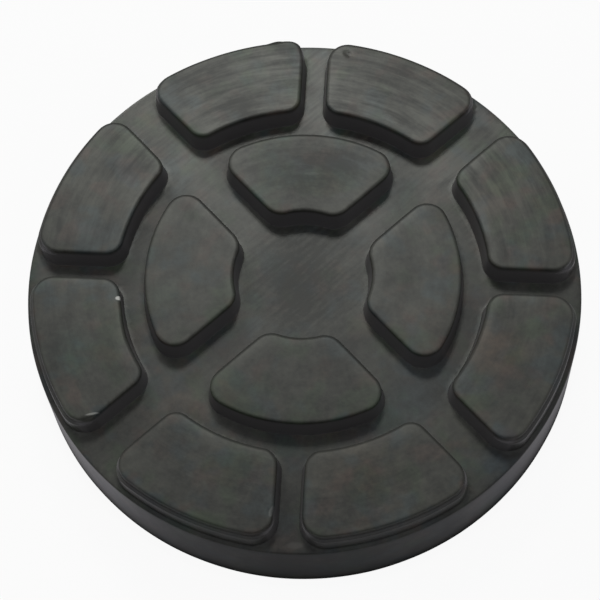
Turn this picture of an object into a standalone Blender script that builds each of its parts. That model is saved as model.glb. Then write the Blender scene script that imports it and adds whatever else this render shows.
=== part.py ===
"""Rubber pad for the saddle plate of a vehicle lift arm, one moulding with no joints.

A round body carries twelve raised blocks. Eight rim blocks stand in four mirrored pairs, and four
petals stand round the middle. Wide channels run between them on the diagonals, narrow ones split
each pair, and a ring channel lies between blocks and petals. The rim blocks are stepped on their
outer side, where the mould's ring meets its top. From below, the body is a cap: its skirt slips
over the round steel plate of the arm, and a bead inside the mouth of the skirt holds it there.

Units are metres and +Z is up. The origin is the centre of the underside, and the channels between
the blocks of a pair lie along X and Y.
"""

import math

import bmesh
import bpy

MM = 0.001
RIGHT_ANGLE = math.pi / 2
FULL_TURN = 2 * math.pi

# Body
PAD_DIAMETER = 120.0 * MM        # at the lower edge, the widest place
PAD_HEIGHT = 25.0 * MM           # from the underside to the tops of the blocks
SIDE_TAPER = 0.7 * MM            # how far the side leans in, at each side, up to the channel floor
SHOULDER_RADIUS = 0.85 * MM      # round edge between the channel floor and the side
LOWER_EDGE_RADIUS = 1.5 * MM

# Socket for the saddle plate
SKIRT_WALL = 9.5 * MM
WEB_THICKNESS = 7.4 * MM         # rubber between the saddle plate and the channel floor
SOCKET_CORNER_RADIUS = 1.5 * MM
BEAD_HEIGHT = 3.6 * MM           # of the bead that holds the plate, from the underside up
BEAD_REACH = 1.4 * MM            # how far the bead stands in from the socket wall

# Pattern of blocks, seen from above
BLOCK_HEIGHT = 5.6 * MM          # above the channel floor
RIM_BLOCK_WIDTH = 18.0 * MM      # along the radius
RING_CHANNEL = 5.9 * MM          # between rim blocks and petals
CENTRE_DIAMETER = 29.4 * MM      # of the round clearing between the petals
PAIR_CHANNEL = 5.7 * MM          # between the two blocks of a pair
DIAGONAL_CHANNEL = 9.5 * MM      # between two pairs
PETAL_CHANNEL = 9.3 * MM         # between two petals
RIM_BLOCK_OUTER_CORNER = 4.4 * MM
RIM_BLOCK_INNER_CORNER = 3.5 * MM
PETAL_OUTER_CORNER = 4.3 * MM
PETAL_INNER_CORNER = 4.4 * MM
CORNER_SHARE = 0.45              # the most of a block's width that one of its round corners takes
RIM_BLOCK_COUNT = 8              # in pairs
PETAL_COUNT = 4

# Walls of the blocks
CHANNEL_DRAFT = math.radians(8.0)
RIM_DRAFT = math.radians(5.0)
TOP_EDGE_RADIUS = 0.5 * MM
FOOT_RADIUS = 0.5 * MM           # hollow curve where a wall meets the floor
FOOT_DEPTH = 1.2 * MM            # how far a block is rooted in the body
RIM_STEP_DEPTH = 1.7 * MM        # of the step in a rim block's outer side, below its top
RIM_STEP_WIDTH = 0.7 * MM
RIM_STEP_RISE = 0.15 * MM        # how far the step slopes up from its outer edge to the wall above

# Finish of the rubber
RUBBER_COLOUR = (0.075, 0.075, 0.070, 1.0)
RUBBER_ROUGHNESS = 0.62

# How finely curves are divided
TURN_STEPS = 80
ROUND_STEPS = 3
CORNER_STEPS = 4
ARC_STEPS = 7
EDGE_STEPS = 2
FOOT_STEPS = 2
SHARP_EDGE = math.radians(40.0)  # an edge that turns more than this is shaded sharp
MERGE_DISTANCE = 0.01 * MM       # closes the seam of the turned body

# Sizes that follow from those above
PAD_RADIUS = PAD_DIAMETER / 2
FLOOR_Z = PAD_HEIGHT - BLOCK_HEIGHT
SOCKET_TOP_Z = FLOOR_Z - WEB_THICKNESS
SOCKET_RADIUS = PAD_RADIUS - SKIRT_WALL
SHOULDER_REACH = PAD_RADIUS - SIDE_TAPER
RIM_FOOT_REACH = RIM_STEP_WIDTH + (BLOCK_HEIGHT - RIM_STEP_DEPTH) * math.tan(RIM_DRAFT)
RIM_BLOCK_OUTER = SHOULDER_REACH - SHOULDER_RADIUS - RIM_FOOT_REACH
RIM_BLOCK_INNER = RIM_BLOCK_OUTER - RIM_BLOCK_WIDTH
PETAL_OUTER = RIM_BLOCK_INNER - RING_CHANNEL
PETAL_INNER = CENTRE_DIAMETER / 2


def clear_scene():
    """Remove every object that the scene starts with."""
    for item in list(bpy.data.objects):
        bpy.data.objects.remove(item, do_unlink=True)


def new_collection(name):
    """Add a collection to the scene and return it."""
    collection = bpy.data.collections.new(name)
    bpy.context.scene.collection.children.link(collection)
    return collection


def rubber_material():
    """Return the charcoal rubber of the whole pad."""
    material = bpy.data.materials.new("rubber")
    material.use_nodes = True
    surface = material.node_tree.nodes["Principled BSDF"]
    surface.inputs["Base Color"].default_value = RUBBER_COLOUR
    surface.inputs["Roughness"].default_value = RUBBER_ROUGHNESS
    surface.inputs["Metallic"].default_value = 0.0
    return material


def polar(radius, angle):
    """Return the point at a radius and an angle."""
    return (radius * math.cos(angle), radius * math.sin(angle))


def arc(centre, radius, start, end, steps):
    """Return the points of an arc, both ends included."""
    points = []
    for step in range(steps + 1):
        offset = polar(radius, start + (end - start) * step / steps)
        points.append((centre[0] + offset[0], centre[1] + offset[1]))
    return points


def rounded_corner(before, corner, after, radius):
    """Return the points of the arc that rounds one corner of a section."""
    to_before = math.atan2(before[1] - corner[1], before[0] - corner[0])
    to_after = math.atan2(after[1] - corner[1], after[0] - corner[0])
    turn = math.remainder(to_after - to_before, FULL_TURN)
    middle = to_before + turn / 2
    reach = radius / math.sin(abs(turn) / 2)
    centre = (corner[0] + reach * math.cos(middle), corner[1] + reach * math.sin(middle))
    sweep = math.copysign(math.pi - abs(turn), turn)
    return arc(centre, radius, middle + math.pi + sweep / 2, middle + math.pi - sweep / 2, ROUND_STEPS)


def body_section():
    """Return the body's section from the middle of the floor, down the side, to the socket."""
    bead_crest = (SOCKET_RADIUS - BEAD_REACH, BEAD_HEIGHT / 2)
    corners = [
        ((0.0, FLOOR_Z), 0.0),
        ((SHOULDER_REACH, FLOOR_Z), SHOULDER_RADIUS),
        ((PAD_RADIUS, 0.0), LOWER_EDGE_RADIUS),
        ((SOCKET_RADIUS, 0.0), 0.0),
        (bead_crest, BEAD_REACH / 2),
        ((SOCKET_RADIUS, BEAD_HEIGHT), 0.0),
        ((SOCKET_RADIUS, SOCKET_TOP_Z), SOCKET_CORNER_RADIUS),
        ((0.0, SOCKET_TOP_Z), 0.0),
    ]
    section = []
    for place, (corner, radius) in enumerate(corners):
        if radius == 0.0:
            section.append(corner)
        else:
            before = corners[place - 1][0]
            after = corners[place + 1][0]
            section += rounded_corner(before, corner, after, radius)
    return section


def turned_body(collection, material):
    """Turn the body's section about Z."""
    section = body_section()
    mesh = bpy.data.meshes.new("rubber_pad")
    points = [(radius, 0.0, height) for radius, height in section]
    edges = [(place, place + 1) for place in range(len(points) - 1)]
    mesh.from_pydata(points, edges, [])
    mesh.materials.append(material)
    body = bpy.data.objects.new("rubber_pad", mesh)
    collection.objects.link(body)
    turn = body.modifiers.new("turn", "SCREW")
    turn.axis = "Z"
    turn.angle = FULL_TURN
    turn.steps = TURN_STEPS
    turn.render_steps = TURN_STEPS
    turn.use_merge_vertices = True
    turn.merge_threshold = MERGE_DISTANCE
    turn.use_smooth_shade = True
    return body


def ring_sector(inner, outer, start, end, start_gap, end_gap, inner_corner, outer_corner):
    """Return the outline of a block, counterclockwise from above.

    The block lies between two arcs about the pad's centre. Its straight sides are parallel to the
    radii at the start and end angles, a gap inside them, and its four corners are round.
    """
    widest_corner = CORNER_SHARE * (outer - inner)
    inner_corner = min(inner_corner, widest_corner)
    outer_corner = min(outer_corner, widest_corner)
    outer_reach = outer - outer_corner
    inner_reach = inner + inner_corner
    start_outer = start + math.asin((start_gap + outer_corner) / outer_reach)
    start_inner = start + math.asin((start_gap + inner_corner) / inner_reach)
    end_outer = end - math.asin((end_gap + outer_corner) / outer_reach)
    end_inner = end - math.asin((end_gap + inner_corner) / inner_reach)
    end_side = end + RIGHT_ANGLE
    start_side = start - RIGHT_ANGLE
    corners = [
        (polar(outer_reach, end_outer), outer_corner, end_outer, end_side),
        (polar(inner_reach, end_inner), inner_corner, end_side, end_inner + math.pi),
        (polar(inner_reach, start_inner), inner_corner, start_inner + math.pi, start_side + FULL_TURN),
        (polar(outer_reach, start_outer), outer_corner, start_side, start_outer),
    ]
    rounds = [arc(*corner, CORNER_STEPS) for corner in corners]
    outer_arc = arc((0.0, 0.0), outer, start_outer, end_outer, ARC_STEPS)[1:-1]
    inner_arc = arc((0.0, 0.0), inner, end_inner, start_inner, ARC_STEPS)[1:-1]
    return outer_arc + rounds[0] + rounds[1] + inner_arc + rounds[2] + rounds[3]


def wall_rings(stepped):
    """Return the rings of a block's wall, from its root inside the body to its top.

    A ring is its height above the floor, its spread into the channels and its reach to the rim,
    both from the outline of the top. A stepped block has its step on the side of the rim.
    """
    lean = math.tan(CHANNEL_DRAFT)
    rim_lean = math.tan(RIM_DRAFT)
    edge_start = BLOCK_HEIGHT - TOP_EDGE_RADIUS
    step_height = BLOCK_HEIGHT - RIM_STEP_DEPTH
    rings = []
    for step in range(FOOT_STEPS + 1):
        angle = RIGHT_ANGLE * (FOOT_STEPS - step) / FOOT_STEPS
        height = FOOT_RADIUS * (1 - math.sin(angle))
        curve = FOOT_RADIUS * (1 - math.cos(angle))
        spread = (edge_start - height) * lean + curve
        reach = RIM_STEP_WIDTH + (step_height - height) * rim_lean if stepped else spread
        rings.append((height if step else -FOOT_DEPTH, spread, reach))
    if stepped:
        wall_start = step_height + RIM_STEP_RISE
        rings.append((step_height, (edge_start - step_height) * lean, RIM_STEP_WIDTH))
        rings.append((wall_start, (edge_start - wall_start) * lean, (edge_start - wall_start) * rim_lean))
    for step in range(EDGE_STEPS + 1):
        angle = RIGHT_ANGLE * step / EDGE_STEPS
        height = edge_start + TOP_EDGE_RADIUS * math.sin(angle)
        inset = TOP_EDGE_RADIUS * (math.cos(angle) - 1)
        rings.append((height, inset, inset))
    return rings


def raised_block(name, collection, sizes, stepped):
    """Loft one block from its foot inside the body to the round edge of its top."""
    inner, outer, start, end, start_gap, end_gap, inner_corner, outer_corner = sizes
    form = bmesh.new()
    rows = []
    for height, spread, reach in wall_rings(stepped):
        outline = ring_sector(
            inner - spread, outer + reach, start, end, start_gap - spread, end_gap - spread,
            inner_corner + spread, outer_corner + spread,
        )
        rows.append([form.verts.new((x, y, FLOOR_Z + height)) for x, y in outline])
    for lower, upper in zip(rows, rows[1:]):
        for place in range(len(lower)):
            form.faces.new((lower[place - 1], lower[place], upper[place], upper[place - 1]))
    form.faces.new(reversed(rows[0]))
    form.faces.new(rows[-1])
    mesh = bpy.data.meshes.new(name)
    form.to_mesh(mesh)
    form.free()
    mesh.shade_smooth()
    mesh.set_sharp_from_angle(angle=SHARP_EDGE)
    block = bpy.data.objects.new(name, mesh)
    block.hide_render = True
    block.display_type = "WIRE"
    collection.objects.link(block)


def rim_blocks(collection):
    """Stand the rim blocks in pairs, each pair split by a narrow channel."""
    channels = [PAIR_CHANNEL, DIAGONAL_CHANNEL]
    share = FULL_TURN / RIM_BLOCK_COUNT
    for place in range(RIM_BLOCK_COUNT):
        start_gap = channels[place % 2] / 2
        end_gap = channels[(place + 1) % 2] / 2
        start = share * place
        end = share * (place + 1)
        sizes = (
            RIM_BLOCK_INNER, RIM_BLOCK_OUTER, start, end, start_gap, end_gap,
            RIM_BLOCK_INNER_CORNER, RIM_BLOCK_OUTER_CORNER,
        )
        raised_block(f"rim_block_{place + 1}", collection, sizes, stepped=True)


def petals(collection):
    """Stand the petals round the middle, one inside each pair of rim blocks."""
    gap = PETAL_CHANNEL / 2
    share = FULL_TURN / PETAL_COUNT
    for place in range(PETAL_COUNT):
        start = share * (place - 0.5)
        end = share * (place + 0.5)
        sizes = (PETAL_INNER, PETAL_OUTER, start, end, gap, gap, PETAL_INNER_CORNER, PETAL_OUTER_CORNER)
        raised_block(f"petal_{place + 1}", collection, sizes, stepped=False)


def main():
    """Build the pad: the turned body with its blocks joined to it."""
    clear_scene()
    pad_collection = new_collection("lift_arm_rubber_pad")
    block_collection = new_collection("block_forms")
    body = turned_body(pad_collection, rubber_material())
    rim_blocks(block_collection)
    petals(block_collection)
    join = body.modifiers.new("join_blocks", "BOOLEAN")
    join.operation = "UNION"
    join.solver = "EXACT"
    join.operand_type = "COLLECTION"
    join.collection = block_collection


main()
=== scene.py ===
"""Looks of a lift arm's rubber pad: its moulded surface and wear, its rubber, and a plain studio.

The pad is one moulding. Its surface is built here more finely than in the solid, from the same
sizes: a turned cap with a socket, twelve raised blocks with drafted walls, and the channel floor
between them. Units are metres and +Z is up.
"""

import logging
import math
from dataclasses import dataclass, field
from enum import Enum

import bpy
import numpy as np
from mathutils import Matrix, Vector, geometry, noise


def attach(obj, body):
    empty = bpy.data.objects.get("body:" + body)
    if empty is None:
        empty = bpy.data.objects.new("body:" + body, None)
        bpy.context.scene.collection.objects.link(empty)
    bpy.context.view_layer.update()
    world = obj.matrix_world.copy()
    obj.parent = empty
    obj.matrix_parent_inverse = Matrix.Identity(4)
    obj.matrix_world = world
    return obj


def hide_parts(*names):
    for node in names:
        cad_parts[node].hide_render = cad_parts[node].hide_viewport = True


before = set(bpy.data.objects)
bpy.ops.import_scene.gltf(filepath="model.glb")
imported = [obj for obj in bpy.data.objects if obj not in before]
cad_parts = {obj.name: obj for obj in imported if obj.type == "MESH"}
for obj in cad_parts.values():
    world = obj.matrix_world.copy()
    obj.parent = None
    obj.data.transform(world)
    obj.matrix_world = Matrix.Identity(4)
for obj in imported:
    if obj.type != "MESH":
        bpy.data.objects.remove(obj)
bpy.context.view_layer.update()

log = logging.getLogger("rubber_pad")

MM = 0.001
RIGHT_ANGLE = math.pi / 2
FULL_TURN = 2 * math.pi
CHUNK_SIZE = 200

Pair = tuple[float, float]
Triple = tuple[float, float, float]
Colour = tuple[float, float, float, float]


def polar(radius: float, angle: float) -> np.ndarray:
    """Return the plan point at a radius and an angle."""
    return np.array((radius * math.cos(angle), radius * math.sin(angle)))


def arc(centre: np.ndarray, radius: float, start: float, end: float, steps: int) -> np.ndarray:
    """Return this many points of an arc from one angle to another, without its last."""
    angles = np.linspace(start, end, steps, endpoint=False)
    return centre + radius * np.stack((np.cos(angles), np.sin(angles)), axis=1)


def straight(start: np.ndarray, end: np.ndarray, steps: int, bow: float = 0.0) -> np.ndarray:
    """Return evenly spaced points from start to end, without the last.

    Args:
        start: The first point.
        end: The end of the run.
        steps: How many points it has.
        bow: How far the middle stands out to the right.

    Returns:
        An array of points, one to a row.
    """
    shares = np.linspace(0.0, 1.0, steps, endpoint=False)[:, None]
    run = end - start
    right = np.array((run[1], -run[0])) / np.linalg.norm(run)
    return start + run * shares + right * bow * 4 * shares * (1 - shares)


def rounded_path(corners: list[Triple], steps: int, spacing: float) -> np.ndarray:
    """Return a section's points, with its corners rounded and its straight runs divided.

    Args:
        corners: The corners in order, each with two coordinates and a radius.
        steps: How many steps a round corner has.
        spacing: The longest step along a straight run.

    Returns:
        An array of points, from the first corner to the last.
    """
    places = [np.array(corner[:2]) for corner in corners]
    bends = []
    for place, corner in enumerate(corners):
        here = places[place]
        if corner[2] == 0.0 or place in (0, len(corners) - 1):
            bends.append(here[None, :])
            continue
        before = places[place - 1] - here
        after = places[place + 1] - here
        to_before = math.atan2(before[1], before[0])
        turn = math.remainder(math.atan2(after[1], after[0]) - to_before, FULL_TURN)
        middle = to_before + turn / 2
        centre = here + polar(corner[2] / math.sin(abs(turn) / 2), middle)
        sweep = math.copysign(math.pi - abs(turn), turn)
        angles = np.linspace(middle + math.pi + sweep / 2, middle + math.pi - sweep / 2, steps + 1)
        bends.append(centre + corner[2] * np.stack((np.cos(angles), np.sin(angles)), axis=1))
    path = [bends[0]]
    for last, bend in zip(bends, bends[1:]):
        run = np.linalg.norm(bend[0] - last[-1])
        count = max(1, math.ceil(run / spacing))
        path.append(straight(last[-1], bend[0], count)[1:])
        path.append(bend)
    return np.concatenate(path)


@dataclass(frozen=True)
class PadSizes:
    """Sizes of the moulding in metres: the solid's, with finer ones for its rounds and its crown."""

    radius: float = 60.0 * MM
    height: float = 25.0 * MM
    side_taper: float = 0.7 * MM
    rim_margin: float = 0.85 * MM
    shoulder_radius: float = 0.45 * MM
    lower_edge_radius: float = 1.5 * MM
    skirt_wall: float = 9.5 * MM
    web_thickness: float = 7.4 * MM
    socket_corner_radius: float = 1.5 * MM
    mouth_edge_radius: float = 0.3 * MM
    bead_height: float = 3.6 * MM
    bead_reach: float = 1.4 * MM
    block_height: float = 5.6 * MM
    rim_block_width: float = 18.0 * MM
    ring_channel: float = 5.9 * MM
    centre_radius: float = 14.7 * MM
    pair_channel: float = 5.7 * MM
    diagonal_channel: float = 9.5 * MM
    petal_channel: float = 9.3 * MM
    rim_outer_corner: float = 4.4 * MM
    rim_inner_corner: float = 3.5 * MM
    petal_outer_corner: float = 4.3 * MM
    petal_inner_corner: float = 4.4 * MM
    channel_draft: float = math.radians(8.0)
    rim_draft: float = math.radians(5.0)
    top_edge_radius: float = 0.5 * MM
    foot_radius: float = 0.12 * MM
    step_depth: float = 1.7 * MM
    step_width: float = 0.7 * MM
    step_rise: float = 0.15 * MM
    step_edge_radius: float = 0.25 * MM
    step_crease_radius: float = 0.2 * MM
    side_bow: float = 0.03 * MM
    crown: float = 0.10 * MM
    crown_width: float = 3.0 * MM
    rim_foot_clearance: float = 0.12 * MM

    @property
    def floor(self) -> float:
        """Height of the channel floor."""
        return self.height - self.block_height

    @property
    def socket_top(self) -> float:
        """Height of the socket's ceiling."""
        return self.floor - self.web_thickness

    @property
    def socket_radius(self) -> float:
        """Radius of the socket's wall."""
        return self.radius - self.skirt_wall

    @property
    def shoulder_reach(self) -> float:
        """Radius at which the side would meet the floor if it had no round edge."""
        return self.radius - self.side_taper

    @property
    def rim_block_outer(self) -> float:
        """Outer radius of the rim blocks at their tops."""
        foot = self.step_width + (self.block_height - self.step_depth) * math.tan(self.rim_draft)
        return self.shoulder_reach - self.rim_margin - foot

    @property
    def rim_block_inner(self) -> float:
        """Inner radius of the rim blocks at their tops."""
        return self.rim_block_outer - self.rim_block_width

    @property
    def petal_outer(self) -> float:
        """Outer radius of the petals at their tops."""
        return self.rim_block_inner - self.ring_channel


@dataclass(frozen=True)
class Fineness:
    """How finely the surface is divided."""

    outline_step: float = 0.55 * MM
    corner_steps: int = 11
    least_steps: int = 3
    round_steps: int = 5
    step_round_steps: int = 3
    top_insets: tuple[float, ...] = (0.8 * MM, 1.2 * MM, 1.7 * MM, 2.3 * MM, 3.0 * MM)
    turn_steps: int = 360
    wall_step: float = 1.5 * MM
    fill_step: float = 0.85 * MM
    ceiling_step: float = 6.0 * MM


class MarkKind(Enum):
    """What a mark does to the surface."""

    PUSH = "rubber moved as a soft lump or dent"
    CHIP = "rubber torn off an edge along a line"


@dataclass(frozen=True)
class Mark:
    """One mark of wear, placed by its plan point in millimetres.

    Its length lies along its heading, in degrees from +X. A push moves the surface by its shift. A
    chip takes away what lies above a slope, which starts at the heading line and falls to its right.
    """

    kind: MarkKind
    across: float
    up: float
    length: float
    width: float
    heading: float
    shift: Triple = (0.0, 0.0, 0.0)
    slope: float = 2.0
    tear_size: float = 0.8 * MM
    tear_depth: float = 0.25
    chip_fade: float = 1.6
    lowest_chip: float = 1.0 * MM
    climb_rate: float = 2.0
    climb_start: float = 0.7

    def frame(self, places: np.ndarray) -> tuple[np.ndarray, np.ndarray]:
        """Return where points lie from the mark.

        Args:
            places: Points in space, one to a row.

        Returns:
            Each point's distance along the heading and to its left, in millimetres.
        """
        plan = places[:, :2] / MM - np.array((self.across, self.up))
        along = np.array((math.cos(math.radians(self.heading)), math.sin(math.radians(self.heading))))
        return plan @ along, plan @ np.array((-along[1], along[0]))

    def apply(self, places: np.ndarray, sizes: PadSizes) -> np.ndarray:
        """Return the points with this mark.

        Args:
            places: Every point of the surface.
            sizes: The pad's sizes.

        Returns:
            The moved points.
        """
        if self.kind is MarkKind.CHIP:
            return self.chipped(places, sizes)
        along, left = self.frame(places)
        reach = (2 * along / self.length) ** 2 + (2 * left / self.width) ** 2
        weight = np.clip(1 - reach, 0.0, 1.0) ** 2
        climb = (places[:, 2] - sizes.floor) / sizes.block_height
        weight *= np.clip(self.climb_rate * climb - self.climb_start, 0.0, 1.0)
        return places + weight[:, None] * np.array(self.shift) * MM

    def chipped(self, places: np.ndarray, sizes: PadSizes) -> np.ndarray:
        """Return the points with the chip torn off, along a slightly ragged face.

        Args:
            places: Every point of the surface.
            sizes: The pad's sizes.

        Returns:
            The moved points.
        """
        moved = places.copy()
        along, left = self.frame(places)
        fade = np.clip(self.chip_fade - self.chip_fade * (2 * along / self.length) ** 2, 0.0, 1.0)
        torn = fade > 0.0
        ragged = np.array([noise.noise(Vector(place) / self.tear_size) for place in places[torn]])
        drop = np.minimum(np.maximum(-left, 0.0) * self.slope, self.width)
        drop[torn] += self.tear_depth * ragged * (left[torn] < 0.0)
        level = sizes.height - drop * fade * MM
        near = torn & (np.abs(left) < self.length) & (places[:, 2] > sizes.floor + self.lowest_chip)
        moved[near, 2] = np.minimum(places[near, 2], level[near])
        return moved


class Region(Enum):
    """The places of the surface that the rubber's finish tells apart, by attribute name."""

    TOP = "block_top"
    ARRIS = "rounded_arris"
    EDGE = "block_edge"
    FLOOR = "channel_floor"
    SIDE = "skirt_side"


class MouldedSurface:
    """Collects the points and faces of one closed surface, with a weight for each region.

    The points inside a flat region keep a clearance from its outlines, as a share of their spacing.
    Within a share of a mark's length from its middle they lie closer together.
    """

    CLEARANCE = 0.62
    DETAIL_REACH = 0.6
    DETAIL_FINENESS = 3
    MERGE_DISTANCE = 1e-9

    def __init__(self) -> None:
        """Start with no points and no faces."""
        self.points: list[np.ndarray] = []
        self.weights: list[np.ndarray] = []
        self.faces: list[tuple[int, ...]] = []
        self.count = 0

    def add(self, points: np.ndarray, **regions: float | np.ndarray) -> np.ndarray:
        """Add points and return their numbers.

        Args:
            points: Places in space, one to a row.
            **regions: The weight of each region named, in lower case.

        Returns:
            The numbers of the new points.
        """
        weight = np.zeros((len(points), len(Region)))
        for column, region in enumerate(Region):
            weight[:, column] = regions.get(region.name.lower(), 0.0)
        self.points.append(points)
        self.weights.append(weight)
        self.count += len(points)
        return np.arange(self.count - len(points), self.count)

    def places(self) -> np.ndarray:
        """Return every point."""
        return np.concatenate(self.points)

    def band(self, lower: np.ndarray, upper: np.ndarray) -> None:
        """Join two closed rings of equal length, the lower one being further out or down."""
        for here, after in zip(range(-1, len(lower) - 1), range(len(lower))):
            self.faces.append((lower[here], lower[after], upper[after], upper[here]))

    def fan(self, ring: np.ndarray, centre: int) -> None:
        """Close a ring with triangles to one point."""
        for here, after in zip(range(-1, len(ring) - 1), range(len(ring))):
            self.faces.append((ring[here], ring[after], centre))

    def fill(self, loops: list[np.ndarray], height: float, spacing: float,
             details: tuple[Mark, ...] = (), **regions: float) -> np.ndarray:
        """Fill a flat region between loops with triangles that face up.

        Args:
            loops: The numbers of the points of each closed loop: the outline and any holes.
            height: The region's height.
            spacing: The distance between the points inside.
            details: Marks round which the points lie closer together.
            **regions: The weights of the points inside.

        Returns:
            The numbers of the points inside.
        """
        places = self.places()
        outlines = [places[loop][:, :2] for loop in loops]
        rim = np.concatenate(outlines)
        inside = hexagonal_grid(rim.min(axis=0), rim.max(axis=0), spacing)
        inside = inside[within(inside, outlines)]
        inside = inside[nearest_distance(inside, rim) > self.CLEARANCE * spacing]
        for mark in details:
            spot = np.array((mark.across, mark.up)) * MM
            reach, step = self.DETAIL_REACH * mark.length * MM, spacing / self.DETAIL_FINENESS
            close = hexagonal_grid(spot - reach, spot + reach, step)
            close = close[within(close, outlines) & (np.linalg.norm(close - spot, axis=1) < reach)]
            if len(close):
                close = close[nearest_distance(close, rim) > self.CLEARANCE * step]
                inside = inside[np.linalg.norm(inside - spot, axis=1) > reach + step]
                inside = np.concatenate((inside, close))
        added = self.add(np.column_stack((inside, np.full(len(inside), height))), **regions)
        numbers = np.concatenate((*loops, added))
        flat = np.concatenate((rim, inside))
        edges = []
        first = 0
        for loop in loops:
            edges += [(first + place, first + (place + 1) % len(loop)) for place in range(len(loop))]
            first += len(loop)
        vectors = [Vector(point) for point in flat]
        made = geometry.delaunay_2d_cdt(vectors, edges, [], 0, self.MERGE_DISTANCE)
        if len(made[0]) != len(flat):
            raise ValueError("the outlines of a flat region cross or touch")
        source = np.array([origin[0] for origin in made[3]])
        corners = source[np.array([tuple(face) for face in made[2]])]
        centres = flat[corners].mean(axis=1)
        for face in corners[within(centres, outlines)]:
            self.faces.append(tuple(numbers[face]))
        return added

    def mesh(self, name: str, places: np.ndarray) -> bpy.types.Mesh:
        """Return the finished mesh with its region attributes.

        Args:
            name: The mesh's name.
            places: The points as they end up, in the order in which they were added.

        Returns:
            The mesh, shaded smooth.
        """
        mesh = bpy.data.meshes.new(name)
        faces = [tuple(int(corner) for corner in face) for face in self.faces]
        mesh.from_pydata(places.tolist(), [], faces)
        weights = np.concatenate(self.weights)
        for column, region in enumerate(Region):
            attribute = mesh.attributes.new(region.value, "FLOAT", "POINT")
            attribute.data.foreach_set("value", weights[:, column].astype(np.float32))
        mesh.shade_smooth()
        mesh.update()
        return mesh


def hexagonal_grid(low: np.ndarray, high: np.ndarray, spacing: float) -> np.ndarray:
    """Return the points of a grid of even triangles that covers a box.

    Args:
        low: The box's lower left corner.
        high: Its upper right corner.
        spacing: The length of a triangle's side.

    Returns:
        An array of plan points, one to a row.
    """
    row_step = spacing * math.sqrt(3) / 2
    rows = np.arange(low[1], high[1], row_step)
    columns = np.arange(low[0], high[0], spacing)
    across, up = np.meshgrid(columns, rows)
    across[1::2] += spacing / 2
    return np.column_stack((across.ravel(), up.ravel()))


def within(points: np.ndarray, outlines: list[np.ndarray]) -> np.ndarray:
    """Say which points lie inside an outline and outside its holes.

    Args:
        points: Plan points, one to a row.
        outlines: The closed outlines of the region and its holes.

    Returns:
        One truth value for each point.
    """
    crossings = np.zeros(len(points), dtype=int)
    across, up = points[:, 0][:, None], points[:, 1][:, None]
    for outline in outlines:
        start, end = outline, np.roll(outline, -1, axis=0)
        spans = (start[:, 1] > up) != (end[:, 1] > up)
        rise = np.where(end[:, 1] == start[:, 1], 1.0, end[:, 1] - start[:, 1])
        reach = start[:, 0] + (up - start[:, 1]) * (end[:, 0] - start[:, 0]) / rise
        crossings += (spans & (across < reach)).sum(axis=1)
    return crossings % 2 == 1


def nearest_distance(points: np.ndarray, others: np.ndarray) -> np.ndarray:
    """Return the distance from each point to the nearest of the others.

    Args:
        points: Plan points, one to a row.
        others: The plan points that they are measured to.

    Returns:
        One distance for each point.
    """
    nearest = np.full(len(points), np.inf)
    for chunk in np.array_split(others, max(1, len(others) // CHUNK_SIZE)):
        gap = np.linalg.norm(points[:, None, :] - chunk[None, :, :], axis=2).min(axis=1)
        nearest = np.minimum(nearest, gap)
    return nearest


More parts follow.
